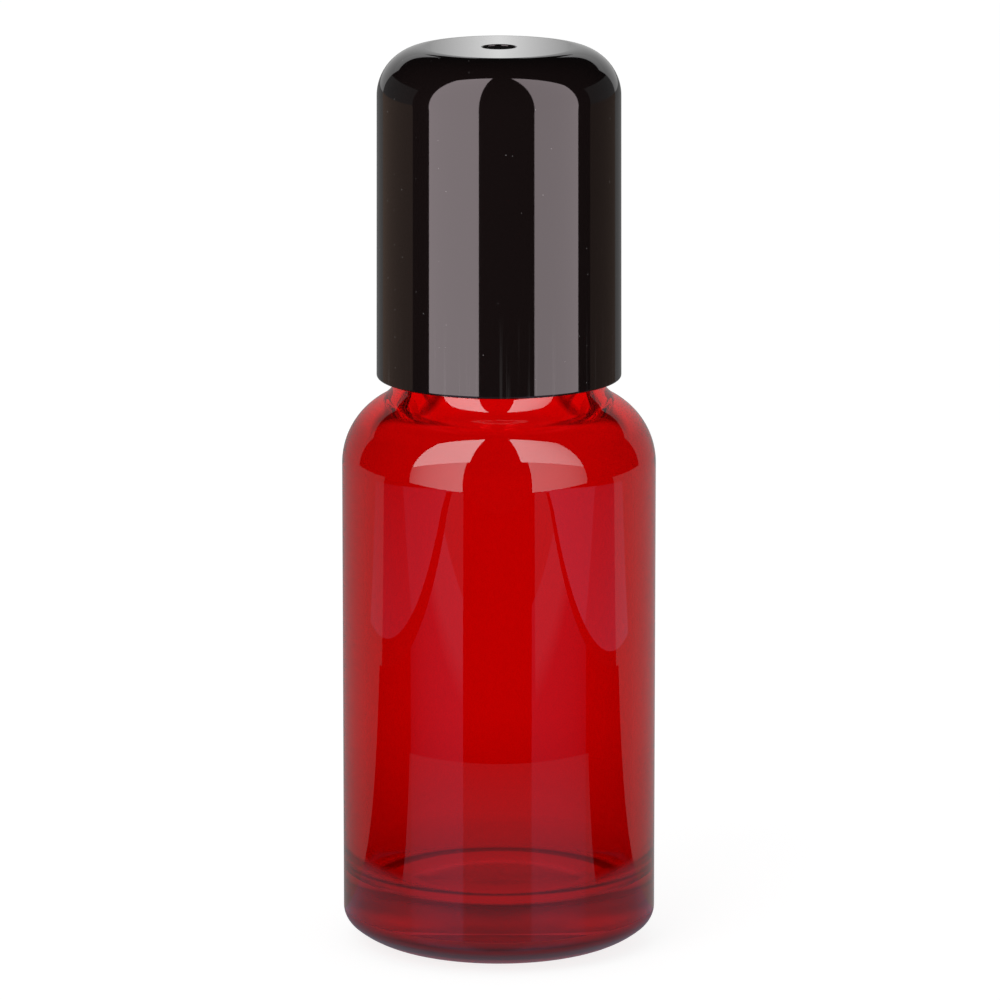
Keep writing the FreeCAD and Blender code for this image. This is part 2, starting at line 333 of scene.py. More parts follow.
# Roller housing: milky plastic insert, injection moulded in one piece and pressed into the neck.
# Beads on its plug seal the bore, and ribs and a thin lip hold the ball in its cup.
FLANGE_INSET = 0.3
FLANGE_RADIUS = NECK_RADIUS - FLANGE_INSET
FLANGE_THICKNESS = 1.1
FLANGE_ROUND = 0.25
PLUG_LENGTH = 7.3
PLUG_WALL = 0.9
PLUG_RELIEF = 0.2
PLUG_FIT = 0.02
PLUG_LEAD = 1.0
SEAL_BEADS = 3
SEAL_BEAD_WIDTH = 0.9
CUP_WALL = 0.9
CUP_RISE = 0.15
LIP_RISE = 1.9
LIP_LAND = 0.35
RIB_COUNT = 6
RIB_WIDTH = 0.8
RIB_REACH = 2.5
RIB_FOOT = 1.0
BALL_CLEARANCE = 0.08
BEAD_STEPS = 8
PLUG_STEPS = 128
FLOW_SCALE = 350.0
FLOW_DETAIL = 4.0
FLOW_GLOSS = (0.28, 0.44)
FLOW_RELIEF = 0.06
FLOW_DEPTH = 0.0002
MILKY = (0.80, 0.81, 0.79, 1.0)
MILKY_SHARE = 0.3
MILKY_SPREAD = (1.0, 0.95, 0.85)
MILKY_DEPTH = 0.0012

BALL_LOW, BALL_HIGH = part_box("roller_ball")
ball_radius = (BALL_HIGH.z - BALL_LOW.z) / 2 / MM
ball_z = (BALL_HIGH.z + BALL_LOW.z) / 2 / MM
flange_top = RIM + FLANGE_THICKNESS
plug_end = RIM - PLUG_LENGTH
plug_radius = neck_bore - PLUG_RELIEF
plug_bore = plug_radius - PLUG_WALL
cup_radius = ball_radius + BALL_CLEARANCE
cup_outer = cup_radius + CUP_WALL
lip_radius = math.sqrt(cup_radius ** 2 - LIP_RISE ** 2)
bead_pitch = (PLUG_LENGTH - PLUG_LEAD) / SEAL_BEADS
bead_stand = PLUG_RELIEF - PLUG_FIT

plug = [(plug_bore, plug_end), (plug_bore + PLUG_WALL / 2, plug_end), (plug_radius, plug_end + PLUG_LEAD)]
for index in range(SEAL_BEADS):
    middle = plug_end + PLUG_LEAD + (index + 0.5) * bead_pitch
    for step in range(BEAD_STEPS + 1):
        share = 2 * step / BEAD_STEPS - 1
        plug.append((plug_radius + bead_stand * (1 - share ** 2), middle + share * SEAL_BEAD_WIDTH / 2))
plug += [(plug_radius, RIM), (FLANGE_RADIUS, RIM)]
plug += bend((FLANGE_RADIUS - FLANGE_ROUND, flange_top - FLANGE_ROUND), FLANGE_ROUND, 0, 90, 5)
plug += bend((cup_outer + FLANGE_ROUND, flange_top + FLANGE_ROUND), FLANGE_ROUND, -90, -180, 5)
plug += [(cup_outer, ball_z), (lip_radius + LIP_LAND, ball_z + LIP_RISE)]
cup_low = math.degrees(math.asin((ball_z - RIM - CUP_RISE) / cup_radius))
cup_high = math.degrees(math.asin(LIP_RISE / cup_radius))
plug += bend((0, ball_z), cup_radius, cup_high, -cup_low)
plug += [(plug_bore, plug_end)]


def fins(mesh, outline, width, count):
    """Radial walls of one outline, evenly spaced about the axis."""
    for index in range(count):
        side = [mesh.verts.new((r * MM, -width / 2 * MM, z * MM)) for r, z in outline]
        face = mesh.faces.new(side)
        grown = bmesh.ops.extrude_face_region(mesh, geom=[face], use_keep_orig=True)["geom"]
        far = [item for item in grown if isinstance(item, bmesh.types.BMVert)]
        bmesh.ops.translate(mesh, verts=far, vec=(0, width * MM, 0))
        bmesh.ops.rotate(mesh, verts=side + far, cent=(0, 0, 0),
                         matrix=Matrix.Rotation(math.tau * index / count, 3, "Z"))


hold_depth = math.sqrt(cup_radius ** 2 - RIB_REACH ** 2)
rib_low = ball_z - hold_depth - RIB_FOOT
rib_root = plug_bore + PLUG_WALL / 2
rib = [(RIB_REACH, rib_low), (rib_root, rib_low), (rib_root, RIM)]
rib += bend((0, ball_z), cup_radius, -math.degrees(math.acos(plug_bore / cup_radius)),
            -math.degrees(math.acos(RIB_REACH / cup_radius)))
housing = bmesh.new()
turn(housing, plug, steps=PLUG_STEPS)
fins(housing, rib, RIB_WIDTH, RIB_COUNT)


def milky_plastic():
    """Natural plastic that lets a little light in, with faint flow lines in its gloss."""
    material, tree, shader = new_material("milky_plastic")
    flow = noise_over(tree, FLOW_SCALE, FLOW_DETAIL)
    feed(tree, shader, {"Base Color": MILKY, "Roughness": mapped(tree, flow, 0.0, 1.0, *FLOW_GLOSS),
                        "Normal": bumped(tree, flow, FLOW_RELIEF, FLOW_DEPTH),
                        "Subsurface Weight": MILKY_SHARE, "Subsurface Radius": MILKY_SPREAD,
                        "Subsurface Scale": MILKY_DEPTH})
    return material


finish_piece("roller_housing", "roller_housing_moulding", housing, [milky_plastic()],
             "bottle")

# Roller ball: solid white plastic ball, ground round and polished.
# It is snapped in past the housing's lip and turns freely on the ribs.
BALL_SEGMENTS, BALL_RINGS = 96, 64
MARK_SCALE = 900.0
MARK_DETAIL = 5.0
MARK_GLOSS = (0.10, 0.24)
BALL_WHITE = (0.86, 0.86, 0.84, 1.0)
BALL_SHARE = 0.15
BALL_DEPTH = 0.001

ball = bmesh.new()
bmesh.ops.create_uvsphere(ball, u_segments=BALL_SEGMENTS, v_segments=BALL_RINGS, radius=ball_radius * MM,
                          matrix=Matrix.Translation((0, 0, ball_z * MM)))


def polished_white():
    """Ground and polished plastic, with fine rolling marks in its gloss."""
    material, tree, shader = new_material("polished_white_plastic")
    gloss = mapped(tree, noise_over(tree, MARK_SCALE, MARK_DETAIL), 0.0, 1.0, *MARK_GLOSS)
    feed(tree, shader, {"Base Color": BALL_WHITE, "Roughness": gloss, "Subsurface Weight": BALL_SHARE,
                        "Subsurface Scale": BALL_DEPTH})
    return material


finish_piece("roller_ball", "roller_ball_polished", ball, [polished_white()], "ball")

# Ball seal pad: disc of soft closed-cell foam, die cut and pressed into the liner's pocket.
# Its dished underside holds the ball down on its seat while the cap is closed.
PAD_LOW, PAD_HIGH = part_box("ball_seal_pad")
PAD_RADIUS = PAD_HIGH.x / MM
PAD_TOP = PAD_HIGH.z / MM
PAD_FOOT = PAD_LOW.z / MM
PAD_GAP = 0.05
PAD_ROUND = 0.2
PAD_STEPS = 96
CELL_SCALE = 2600.0
CELL_RELIEF = 0.5
CELL_DEPTH = 0.0002
FOAM = (0.78, 0.78, 0.75, 1.0)
FOAM_SHADE = 0.85
FOAM_ROUGHNESS = 0.7

dish_radius = ball_radius + PAD_GAP
dish_edge = math.degrees(math.asin((PAD_FOOT - ball_z) / dish_radius))
foam = bmesh.new()
foam_outline = bend((0, ball_z), dish_radius, 90, dish_edge)
foam_outline += bend((PAD_RADIUS - PAD_ROUND, PAD_FOOT + PAD_ROUND), PAD_ROUND, -90, 0, 4)
foam_outline += bend((PAD_RADIUS - PAD_ROUND, PAD_TOP - PAD_ROUND), PAD_ROUND, 0, 90, 4)
foam_outline += [(0, PAD_TOP)]
turn(foam, foam_outline, steps=PAD_STEPS)


def cell_foam():
    """Soft foam with the small cells of its cut face, with painted shade darkening the cells' hollows."""
    material, tree, shader = new_material("cell_foam")
    cells = add(tree, "TexVoronoi", {"Vector": object_place(tree), "Scale": CELL_SCALE}).outputs["Distance"]
    # Painted shade: the cells' hollows get a darker foam colour.
    painted_hollow_shade = tuple(value * FOAM_SHADE for value in FOAM[:3]) + (1.0,)
    feed(tree, shader, {"Base Color": blended(tree, cells, painted_hollow_shade, FOAM), "Roughness": FOAM_ROUGHNESS,
                        "Normal": bumped(tree, cells, CELL_RELIEF, CELL_DEPTH)})
    return material


finish_piece("ball_seal_pad", "ball_seal_foam", foam, [cell_foam()], "seal_pad")

# Cap liner: black plastic sleeve with the cap's thread, pressed into the outer cap.
# Ribs along its outside grip the shell, and the thread stands out inwards between the neck's turns.
LINER_LOW, LINER_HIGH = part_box("cap_liner")
LINER_END = LINER_LOW.z / MM
LINER_TOP = LINER_HIGH.z / MM
LINER_WALL = 1.2
THREAD_CLEARANCE = 0.25
CHAMBER_GAP = 0.6
POCKET_GAP = 0.1
POCKET_DEPTH = 1.3
GRIP_RIBS = 12
GRIP_RIB_WIDTH = 1.0
GRIP_RIB_HEIGHT = 1.08
GRIP_RIB_LEAD = 0.4
LINER_THREAD_HEIGHT = 0.8
LINER_THREAD_WIDTH = 1.1
LINER_STEPS = 128
GRAIN_SCALE = 3000.0
GRAIN_DETAIL = 3.0
GRAIN_GLOSS = (0.35, 0.5)
GRAIN_RELIEF = 0.15
GRAIN_DEPTH = 0.0001
LINER_BLACK = (0.018, 0.018, 0.02, 1.0)

liner_bore = NECK_RADIUS + THREAD_HEIGHT + THREAD_CLEARANCE
liner_radius = liner_bore + LINER_WALL
chamber_radius = cup_outer + CHAMBER_GAP
chamber_outer = chamber_radius + LINER_WALL
liner_step = flange_top + LINER_WALL
pocket = PAD_RADIUS + POCKET_GAP
pocket_floor = PAD_TOP - POCKET_DEPTH
sleeve = upright(liner_bore, flange_top, LINER_END, 150)
sleeve += [(liner_radius, LINER_END), (liner_radius, liner_step), (chamber_outer, liner_step)]
sleeve += bend((chamber_outer - FLANGE_ROUND, LINER_TOP - FLANGE_ROUND), FLANGE_ROUND, 0, 90, 5)
sleeve += [(0, LINER_TOP)]
ceiling = [(0, PAD_TOP), (pocket, PAD_TOP), (pocket, pocket_floor), (chamber_radius, pocket_floor)]
ceiling += [(chamber_radius, flange_top), (liner_bore, flange_top)]
grip_radius = liner_radius + GRIP_RIB_HEIGHT
grip_root = liner_radius - LINER_WALL / 2
grip = [(grip_root, LINER_END), (grip_radius - GRIP_RIB_LEAD, LINER_END)]
grip += [(grip_radius, LINER_END + GRIP_RIB_LEAD), (grip_radius, liner_step - GRIP_RIB_LEAD)]
grip += [(grip_radius - GRIP_RIB_LEAD, liner_step), (grip_root, liner_step)]
liner = bmesh.new()
turn(liner, sleeve, steps=LINER_STEPS)
turn(liner, ceiling, steps=LINER_STEPS)
fins(liner, grip, GRIP_RIB_WIDTH, GRIP_RIBS)
cut_thread(liner, liner_bore, -LINER_THREAD_HEIGHT, LINER_END, flange_top,
           thread_start - THREAD_PITCH / 2, THREAD_TURNS, LINER_THREAD_WIDTH)


def matt_black():
    """Plain moulded plastic with the mould's fine spark-eroded grain."""
    material, tree, shader = new_material("matt_black_plastic")
    grain = noise_over(tree, GRAIN_SCALE, GRAIN_DETAIL)
    feed(tree, shader, {"Base Color": LINER_BLACK, "Roughness": mapped(tree, grain, 0.0, 1.0, *GRAIN_GLOSS),
                        "Normal": bumped(tree, grain, GRAIN_RELIEF, GRAIN_DEPTH)})
    return material


liner_sleeve = finish_piece("cap_liner", "cap_liner_sleeve", liner, [matt_black()], "cap")

# Outer cap: shell moulded in high-gloss black plastic, with the gate's well in its top.
# Fins inside its crown stop the liner when it is pressed in, and a bead in its bore holds it.
CAP_LOW, CAP_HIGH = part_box("outer_cap")
CAP_EDGE = CAP_LOW.z / MM
CAP_TOP = CAP_HIGH.z / MM
CAP_EDGE_RADIUS = CAP_HIGH.x / MM
CAP_DRAFT = 0.1
CAP_CORNER = 5.1
CAP_WALL = 1.3
CAP_TOP_WALL = 1.6
EDGE_ROUND = 0.3
SNAP_HEIGHT = 0.22
SNAP_GAP = 0.1
STOP_FINS = 8
STOP_FIN_WIDTH = 0.9
STOP_FIN_GAP = 0.4
WELL_RADIUS = 1.75
WELL_DEPTH = 1.8
WELL_EDGE = 0.15
NIB_RADIUS = 0.3
NIB_HEIGHT = 1.2
NIB_TAPER = 0.8
DUST_SCALE = 1300.0
DUST_SIZE = 0.07
DUST_RARE = 0.8
DRAG_LENGTH = 9.0
DRAG_STRETCH = (1.0, 1.0, 0.02)
DRAG_SCALE = 2400.0
DRAG_DETAIL = 2.0
DRAG_LOW, DRAG_HIGH = 0.56, 0.7
DRAG_LEVEL = 0.1
CAP_BLACK = (0.009, 0.0055, 0.0055, 1.0)
CAP_ROUGHNESS = 0.04
CAP_IOR = 1.5
# Painted shade: the well's walls are a darker, dull black. The torn gate's nib is light grey, partly as a
# painted glint.
WELL_SHADE_BLACK = (0.004, 0.004, 0.004, 1.0)
SPECK_GREY = (0.20, 0.19, 0.19, 1.0)
NIB_GLINT_GREY = (0.18, 0.175, 0.17, 1.0)
TORN_SHEEN = 0.1

cap_radius = CAP_EDGE_RADIUS - CAP_DRAFT
cap_bore = cap_radius - CAP_WALL
cap_ceiling = CAP_TOP - CAP_TOP_WALL
corner = (cap_radius - CAP_CORNER, CAP_TOP - CAP_CORNER)
inner_corner = CAP_CORNER - CAP_WALL
well_mouth = WELL_RADIUS + WELL_EDGE
well_floor = CAP_TOP - WELL_DEPTH
boss_radius = WELL_RADIUS + CAP_TOP_WALL
snap_z = LINER_END - SNAP_GAP - SNAP_HEIGHT
shell_outline = [(cap_bore, CAP_EDGE)]
shell_outline += bend((CAP_EDGE_RADIUS - EDGE_ROUND, CAP_EDGE + EDGE_ROUND), EDGE_ROUND, -90, 0, 6)
shell_outline += bend(corner, CAP_CORNER, 0, 90, 32)
shell_outline += bend((well_mouth, CAP_TOP - WELL_EDGE), WELL_EDGE, 90, 180, 6)
well_outline = [shell_outline[-1], (WELL_RADIUS, well_floor), (NIB_RADIUS, well_floor)]
nib_top = well_floor + NIB_HEIGHT
nib_outline = [(NIB_RADIUS, well_floor), (NIB_RADIUS * NIB_TAPER, nib_top), (0, nib_top)]
boss_end = cap_ceiling - WELL_DEPTH
shell_inside = [(0, boss_end), (boss_radius, boss_end), (boss_radius, cap_ceiling)]
shell_inside += bend((cap_bore - inner_corner, cap_ceiling - inner_corner), inner_corner, 90, 0)
shell_inside += bend((cap_bore, snap_z), SNAP_HEIGHT, 90, 270, 6)
shell_inside += [(cap_bore, CAP_EDGE)]
fin_inner = chamber_outer + STOP_FIN_GAP
fin_corner = CAP_CORNER - CAP_WALL / 2
stop_fin = [(fin_inner, liner_step), (cap_radius - CAP_WALL / 2, liner_step)]
stop_fin += bend(corner, fin_corner, 0, math.degrees(math.acos((fin_inner - corner[0]) / fin_corner)))
shell = bmesh.new()
turn(shell, shell_outline)
turn(shell, shell_inside)
turn(shell, well_outline, 1)
turn(shell, nib_outline, 2)
fins(shell, stop_fin, STOP_FIN_WIDTH, STOP_FINS)


def gloss_black():
    """Black plastic from a polished mould, with dust specks and drag lines above its edge."""
    material, tree, shader = new_material("gloss_black_plastic")
    spot = object_place(tree)
    dust = add(tree, "TexVoronoi", {"Vector": spot, "Scale": DUST_SCALE})
    kind = add(tree, "SeparateColor", {"Color": dust.outputs["Color"]})
    small = worked(tree, "LESS_THAN", dust.outputs["Distance"], DUST_SIZE)
    rare = worked(tree, "GREATER_THAN", kind.outputs[0], DUST_RARE)
    speck = worked(tree, "MULTIPLY", small, rare)
    drawn = add(tree, "Mapping", {"Vector": spot, "Scale": DRAG_STRETCH})
    lines = add(tree, "TexNoise", {"Vector": drawn.outputs[0], "Scale": DRAG_SCALE, "Detail": DRAG_DETAIL})
    line = mapped(tree, lines.outputs[0], DRAG_LOW, DRAG_HIGH, 0.0, DRAG_LEVEL)
    height = add(tree, "SeparateXYZ", {0: spot}).outputs["Z"]
    skirt = mapped(tree, height, CAP_EDGE * MM, (CAP_EDGE + DRAG_LENGTH) * MM, 1.0, 0.0)
    mark = worked(tree, "MAXIMUM", speck, worked(tree, "MULTIPLY", line, skirt))
    feed(tree, shader, {"Base Color": blended(tree, mark, CAP_BLACK, SPECK_GREY),
                        "Roughness": CAP_ROUGHNESS, "IOR": CAP_IOR})
    return material


def rough_plastic(name, colour):
    """Plastic without gloss. The torn gate's light grey is partly a painted glint, and the well's darker
    black is painted shade.
    """
    material, tree, shader = new_material(name)
    feed(tree, shader, {"Base Color": colour, "Roughness": 1.0, "Specular IOR Level": TORN_SHEEN})
    return material


# Painted shade in the gate's well, and a partly painted glint on the nib.
blacks = [gloss_black(), rough_plastic("well_painted_shade_black", WELL_SHADE_BLACK), rough_plastic("torn_gate_painted_glint", NIB_GLINT_GREY)]
cap = finish_piece("outer_cap", "outer_cap_shell", shell, blacks, "cap")
# In the photo the glass doesn't show the cap.
for piece in (cap, liner_sleeve):
    piece.visible_glossy = False
    piece.visible_transmission = False

# Studio: a white floor and surround, and a dark table top and lamps that only show as reflections.
# Two tall soft boxes stand in front of the bottle, left and right of the camera. Cap and glass have
# lamps of their own, because the photo looks as if it was put together from two pictures.
FLOOR_RADIUS = 3.0
FLOOR_SEGMENTS = 64
FLOOR_GREY = (0.3, 0.3, 0.3, 1.0)
FLOOR_GLOW = 0.83
SHADE_START, SHADE_END = 0.02, 0.105
SHADE_LEVEL = 0.6
TABLE_HALF = 0.15
TABLE_BACK = 0.011
TABLE_FRONT = -0.25
TABLE_TINT = (0.07, 0.055, 0.10, 1.0)
TABLE_GLOW = (1.1, 1.0, 1.25, 1.0)
POOL_SLOPE = -2.1
POOL_START, POOL_END = 0.06, 0.11
POOL_LEVEL, POOL_END_LEVEL = 0.28, 0.12
FOOT_START, FOOT_END = 0.046, 0.054
STRIP_SLOPE = -0.47
STRIP_FRONT, STRIP_BACK = -0.145, -0.125
STRIP_LEVEL = 0.2
WHITE = (1.0, 1.0, 1.0)
PALE_PINK = (1.0, 0.85, 0.89)
COOL_PINK = (1.2, 1.0, 1.7)
BROWN = (1.0, 0.72, 0.57)


def staged(name, mesh, material):
    data = bpy.data.meshes.new(name)
    mesh.to_mesh(data)
    mesh.free()
    data.materials.append(material)
    thing = bpy.data.objects.new(name, data)
    bpy.context.scene.collection.objects.link(thing)
    return thing


def plain_surface(material, tree, shader, surface):
    """Puts a surface in the place of a new material's own shader."""
    tree.nodes.remove(shader)
    tree.links.new(surface.outputs[0], tree.nodes["Material Output"].inputs["Surface"])
    return material


def reach_from_axis(tree):
    """How far a point of the floor or table is from the bottle's axis."""
    return add(tree, "VectorMath", {0: object_place(tree)}, operation="LENGTH").outputs["Value"]


def floor_white():
    """White floor with the bottle's soft shadow. Through the glass it is a glow with a painted shadow,
    darker towards the base.
    """
    material, tree, shader = new_material("floor_white")
    chalk = add(tree, "BsdfDiffuse", {"Color": FLOOR_GREY})
    white = add(tree, "Emission", {"Strength": FLOOR_GLOW})
    open_floor = add(tree, "AddShader", {0: chalk.outputs[0], 1: white.outputs[0]})
    # Painted shadow: through the glass the floor's glow is dimmed towards the bottle's axis.
    light = mapped(tree, reach_from_axis(tree), SHADE_START, SHADE_END, SHADE_LEVEL, 1.0)
    painted_shadow_glow = add(tree, "Emission", {"Strength": light})
    path = add(tree, "LightPath", {})
    choice = add(tree, "MixShader", {0: path.outputs["Is Transmission Ray"], 1: open_floor.outputs[0],
                                     2: painted_shadow_glow.outputs[0]})
    return plain_surface(material, tree, shader, choice)


floor_disc = bmesh.new()
bmesh.ops.create_circle(floor_disc, cap_ends=True, segments=FLOOR_SEGMENTS, radius=FLOOR_RADIUS)
floor = staged("white_floor", floor_disc, floor_white())
floor.visible_glossy = False


def reflected_only(thing):
    thing.visible_camera = False
    thing.visible_diffuse = False
    thing.visible_transmission = False
    thing.visible_shadow = False


def table_gloss():
    """Dark polished table top, which shows the soft boxes faintly. It glows a little round the bottle's
    foot, in a pool in front of it, and in a strip at both sides farther to the front: painted light, not a
    lamp's."""
    material, tree, shader = new_material("table_gloss")
    mirror = add(tree, "BsdfGlossy", {"Color": TABLE_TINT, "Roughness": 0.0})
    axis = add(tree, "SeparateXYZ", {0: object_place(tree)})
    aside = worked(tree, "ABSOLUTE", axis.outputs["X"])
    reach = reach_from_axis(tree)
    # Painted light: the glow round the foot, in the front pool and in the side strips.
    sector = worked(tree, "GREATER_THAN", worked(tree, "MULTIPLY", axis.outputs["Y"], POOL_SLOPE), aside)
    falling = mapped(tree, reach, POOL_START, POOL_END, POOL_LEVEL, POOL_END_LEVEL)
    pool = worked(tree, "MULTIPLY", falling, worked(tree, "LESS_THAN", reach, POOL_END))
    fore = worked(tree, "MULTIPLY", pool, sector)
    foot = mapped(tree, reach, FOOT_START, FOOT_END, POOL_LEVEL, 0.0, interpolation_type="SMOOTHSTEP")
    outer = worked(tree, "GREATER_THAN", aside, worked(tree, "MULTIPLY", axis.outputs["Y"], STRIP_SLOPE))
    front = mapped(tree, axis.outputs["Y"], STRIP_FRONT, STRIP_BACK, STRIP_LEVEL, 0.0)
    strip = worked(tree, "MULTIPLY", front, outer)
    level = worked(tree, "MAXIMUM", worked(tree, "MAXIMUM", fore, foot), strip)
    glow = add(tree, "Emission", {"Color": TABLE_GLOW, "Strength": level})
    both = add(tree, "AddShader", {0: mirror.outputs[0], 1: glow.outputs[0]})
    return plain_surface(material, tree, shader, both)


table_sheet = bmesh.new()
bmesh.ops.create_grid(table_sheet, x_segments=1, y_segments=1, size=TABLE_HALF)
for vert in table_sheet.verts:
    vert.co.y = TABLE_FRONT if vert.co.y < 0 else TABLE_BACK
table = staged("table_top", table_sheet, table_gloss())
reflected_only(table)

# The lamps: soft boxes (BOX), lit ground beside the bottle (GROUND, FORE) and behind it (REAR), and
# the surround of the cap (BACK, SIDE). Each row gives a lamp's name, its two corners, the way it
# faces, its level, its colour and the share of its level that is left at its outer edge.
LAMP_TURNS = {"back": (90, 0), "front": (90, 180), "right": (90, -90), "left": (90, 90), "up": (180, 0)}
BOX_Y = -0.22
BOX_FOOT, BOX_SPLIT, BOX_TOP = 0.01, 0.21, 0.8
BOX_LEFT, BOX_RIGHT = -0.53, 0.50
CAP_BOX_TOP = 1.1
FORE_FRONT, GROUND_FRONT, GROUND_BACK = -0.3, -0.08, 0.045
GROUND_LEFT, GROUND_RIGHT = -0.166, 0.159
GROUND_END = 0.29
REAR_FRONT, REAR_BACK = 0.005, 0.5
REAR_END = 0.77
REAR_TOP = 0.41
REAR_LEFT_LEVEL, REAR_RIGHT_LEVEL = 0.26, 0.32
BACK_Y = 0.75
BACK_END = 0.6
BACK_SLIT = 0.014
BACK_GAP = 0.1
BACK_DEEP, BACK_SKIRT, BACK_RIM, BACK_BAND, BACK_TOP = -0.4, 0.06, 0.17, 0.38, 0.5
BACK_SLIT_TOP = 0.293
BACK_LEVEL, BACK_TOP_LEVEL = 0.62, 0.7
SIDE_LEFT, SIDE_RIGHT = -0.02, 0.05
SIDE_TOP = 0.35
SIDE_LEVEL = 0.12
GLASS_LAMPS = (
    ("glass_low_left", (BOX_LEFT, BOX_Y, BOX_FOOT), (-0.105, BOX_Y, BOX_SPLIT), "back", 3.1, WHITE, 0.3),
    ("glass_low_right", (0.094, BOX_Y, BOX_FOOT), (BOX_RIGHT, BOX_Y, BOX_SPLIT), "back", 2.4, WHITE, 0.4),
    ("glass_high_left", (BOX_LEFT, BOX_Y, BOX_SPLIT), (-0.095, BOX_Y, BOX_TOP), "back", 6.0, WHITE, 0.85),
    ("glass_high_right", (0.07, BOX_Y, BOX_SPLIT), (BOX_RIGHT, BOX_Y, BOX_TOP), "back", 5.5, WHITE, 0.5),
    ("ground_left", (-GROUND_END, GROUND_FRONT, 0), (GROUND_LEFT, GROUND_BACK, 0),
     "up", 0.15, COOL_PINK, 0.2),
    ("ground_right", (GROUND_RIGHT, GROUND_FRONT, 0), (GROUND_END, GROUND_BACK, 0),
     "up", 0.23, COOL_PINK, 0.35),
    ("fore_left", (-GROUND_END, FORE_FRONT, 0), (GROUND_LEFT, GROUND_FRONT, 0), "up", 0.24, COOL_PINK, 0.5),
    ("fore_right", (GROUND_RIGHT, FORE_FRONT, 0), (GROUND_END, GROUND_FRONT, 0), "up", 0.36, COOL_PINK, 0.6),
    ("ground_back_left", (-REAR_END, REAR_FRONT, -MM), (0, REAR_BACK, -MM), "up", REAR_LEFT_LEVEL),
    ("ground_back_right", (0, REAR_FRONT, -MM), (REAR_END, REAR_BACK, -MM), "up", REAR_RIGHT_LEVEL),
    ("glass_back_left", (-REAR_END, REAR_BACK, 0), (0, REAR_BACK, REAR_TOP), "front", REAR_LEFT_LEVEL),
    ("glass_back_right", (0, REAR_BACK, 0), (REAR_END, REAR_BACK, REAR_TOP), "front", REAR_RIGHT_LEVEL))
CAP_LAMPS = (
    ("cap_box_left", (-0.556, BOX_Y, -0.2), (-0.073, BOX_Y, CAP_BOX_TOP), "back", 4.5, PALE_PINK),
    ("cap_box_right", (0.141, BOX_Y, -0.3), (1.2, BOX_Y, CAP_BOX_TOP), "back", 3.9, PALE_PINK),
    ("cap_back_middle", (-BACK_SLIT, BACK_Y, BACK_RIM), (BACK_SLIT, BACK_Y, BACK_SLIT_TOP),
     "front", 1.5, WHITE, 0.42),
    ("cap_back_left", (-BACK_END, BACK_Y, BACK_RIM), (-BACK_SLIT, BACK_Y, BACK_BAND), "front", BACK_LEVEL),
    ("cap_back_left_high", (-BACK_END, BACK_Y, BACK_BAND), (-BACK_GAP, BACK_Y, BACK_TOP),
     "front", BACK_TOP_LEVEL),
    ("cap_back_right", (BACK_SLIT, BACK_Y, BACK_RIM), (BACK_END, BACK_Y, BACK_BAND), "front", BACK_LEVEL),
    ("cap_back_right_high", (BACK_GAP, BACK_Y, BACK_BAND), (BACK_END, BACK_Y, BACK_TOP),
     "front", BACK_TOP_LEVEL),
    ("cap_back_rim", (-BACK_END, BACK_Y, BACK_SKIRT), (BACK_END, BACK_Y, BACK_RIM), "front", BACK_LEVEL),
    ("cap_back_low", (-BACK_END, BACK_Y, BACK_DEEP), (BACK_END, BACK_Y, BACK_SKIRT), "front", 0.2),
    ("cap_left_high", (-BACK_END, SIDE_LEFT, BACK_SKIRT), (-BACK_END, BACK_Y, SIDE_TOP),
     "right", SIDE_LEVEL),
    ("cap_left_low", (-BACK_END, SIDE_LEFT, BACK_DEEP), (-BACK_END, BACK_Y, BACK_SKIRT),
     "right", 0.25, BROWN),
    ("cap_right_high", (BACK_END, SIDE_RIGHT, BACK_SKIRT), (BACK_END, BACK_Y, SIDE_TOP),
     "left", SIDE_LEVEL),
    ("cap_right_low", (BACK_END, SIDE_RIGHT, BACK_DEEP), (BACK_END, BACK_Y, BACK_SKIRT),
     "left", 0.13, BROWN))


def soft_lamp(seen_by, name, low, high, faces, level, colour=WHITE, fade=1.0):
    """Lamp between two corners that only shows as a reflection, in the pieces that it is meant for.
    Its light falls to a share of its level at the edge that is farther from the middle plane."""
    low, high = Vector(low), Vector(high)
    span = high - low
    lamp = bpy.data.lights.new(name, "AREA")
    lamp.shape = "RECTANGLE"
    lamp.size = span.x or span.y
    lamp.size_y = span.z or span.y
    lamp.color = colour
    lamp.energy = math.pi * lamp.size * lamp.size_y * level
    lamp.use_nodes = True
    tree = lamp.node_tree
    place = add(tree, "NewGeometry", {})
    axis = add(tree, "SeparateXYZ", {0: place.outputs["Position"]})
    near, far = sorted((abs(low.x), abs(high.x)))
    near = 0.0 if low.x < 0 < high.x else near
    share = mapped(tree, worked(tree, "ABSOLUTE", axis.outputs["X"]), near, far + MM, 1.0, fade)
    feed(tree, tree.nodes["Emission"], {"Strength": share})
    thing = bpy.data.objects.new(name, lamp)
    bpy.context.scene.collection.objects.link(thing)
    thing.location = (low + high) / 2
    tipped, turned = LAMP_TURNS[faces]
    thing.rotation_euler = (math.radians(tipped), 0, math.radians(turned))
    reflected_only(thing)
    thing.light_linking.receiver_collection = seen_by


in_glass = bpy.data.collections.new("reflected_in_glass")
in_glass.objects.link(bottle)
in_glass.objects.link(table)
in_cap = bpy.data.collections.new("reflected_in_cap")
in_cap.objects.link(cap)
for seen_by, rows in ((in_glass, GLASS_LAMPS), (in_cap, CAP_LAMPS)):
    for row in rows:
        soft_lamp(seen_by, *row)

# The key light throws the soft shadow. It doesn't show as a reflection.
KEY_SIZE = 0.5
KEY_LEVEL = 2.0
KEY_PLACE = Vector((-0.35, -0.55, 0.55))
KEY_AIM = Vector((0, 0, 0.05))

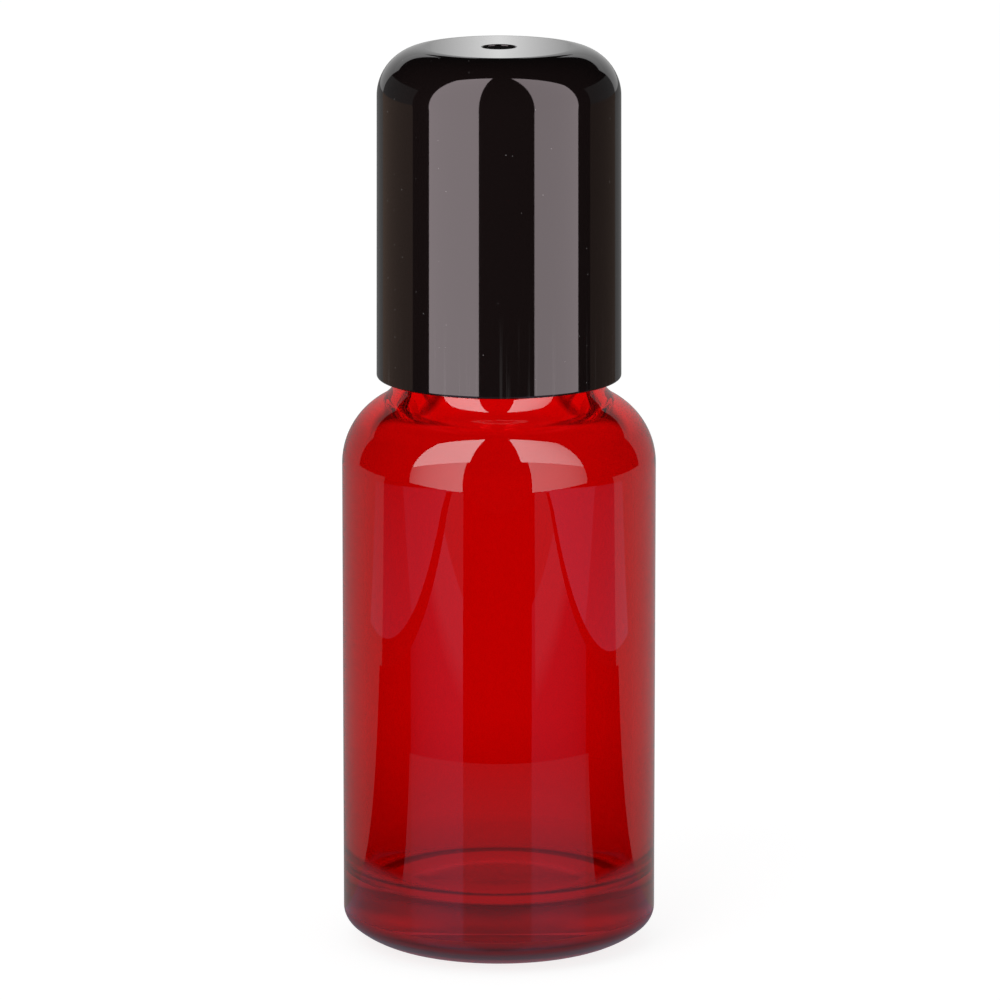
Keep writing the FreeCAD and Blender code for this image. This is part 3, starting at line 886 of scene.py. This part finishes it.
key = bpy.data.objects.new("key_light", bpy.data.lights.new("key_light", "AREA"))
bpy.context.scene.collection.objects.link(key)
key.data.size = KEY_SIZE
key.data.energy = math.pi * KEY_SIZE ** 2 * KEY_LEVEL
key.location = KEY_PLACE
key.rotation_euler = (KEY_AIM - KEY_PLACE).to_track_quat("-Z", "Y").to_euler()
key.visible_camera = False
key.visible_glossy = False
key.visible_transmission = False

# The surround is white for the camera. Through the glass it is dark high up in the middle, which
# gives the base its depth, and white at the sides.
SKY_BY_HEIGHT = ((0.22, 1.0), (0.34, 0.14), (0.45, 0.16), (0.8, 0.45))
SKY_SIDE_START, SKY_SIDE_END = 0.35, 0.7
SKY_SHADE = 0.008
SKY_FILL = 0.6


def either(tree, choice, plain, chosen):
    """Plain value, or the chosen one where the choice is 1."""
    return add(tree, "Mix", {"Factor": choice, "A": plain, "B": chosen}, data_type="FLOAT").outputs["Result"]


world = bpy.data.worlds.new("white_surround")
bpy.context.scene.world = world
world.use_nodes = True
sky = world.node_tree
path = add(sky, "LightPath", {})
around = add(sky, "TexCoord", {})
way = add(sky, "SeparateXYZ", {0: around.outputs["Generated"]})
ahead = graded(sky, way.outputs["Z"], SKY_BY_HEIGHT)
sides = mapped(sky, worked(sky, "ABSOLUTE", way.outputs["X"]), SKY_SIDE_START, SKY_SIDE_END)
through = worked(sky, "MAXIMUM", ahead, sides)
reflected = either(sky, path.outputs["Is Diffuse Ray"], SKY_SHADE, SKY_FILL)
indirect = either(sky, path.outputs["Is Transmission Ray"], reflected, through)
seen = either(sky, path.outputs["Is Camera Ray"], indirect, 1.0)
feed(sky, sky.nodes["Background"], {"Color": (1.0, 1.0, 1.0, 1.0), "Strength": seen})

# Camera: the photograph's view, a little above the bottle with a long lens.
# Light may cross the glass many times, because inside the base it is mirrored back and forth.
CAMERA_AIM = Vector((0, 0, 0.04741))
CAMERA_DISTANCE = 0.8273
CAMERA_TILT = 11.80
LENS = 282.9
SENSOR = 36.0
CLIP_START = 0.01
AXIS_PIXEL = 499.0
FRAME_PIXELS = 1000.0
MOST_BOUNCES = 32
GLOSSY_BOUNCES = 24

camera_data = bpy.data.cameras.new("photo_camera")
camera_data.lens = LENS
camera_data.sensor_width = SENSOR
camera_data.shift_x = 0.5 - AXIS_PIXEL / FRAME_PIXELS
camera_data.clip_start = CLIP_START
camera = bpy.data.objects.new("photo_camera", camera_data)
bpy.context.scene.collection.objects.link(camera)
tilt = math.radians(CAMERA_TILT)
camera.location = CAMERA_AIM + CAMERA_DISTANCE * Vector((0, -math.cos(tilt), math.sin(tilt)))
camera.rotation_euler = (math.pi / 2 - tilt, 0, 0)
bpy.context.scene.camera = camera
bpy.context.scene.view_settings.view_transform = "Standard"
bpy.context.scene.cycles.max_bounces = MOST_BOUNCES
bpy.context.scene.cycles.glossy_bounces = GLOSSY_BOUNCES
bpy.context.scene.cycles.transmission_bounces = MOST_BOUNCES
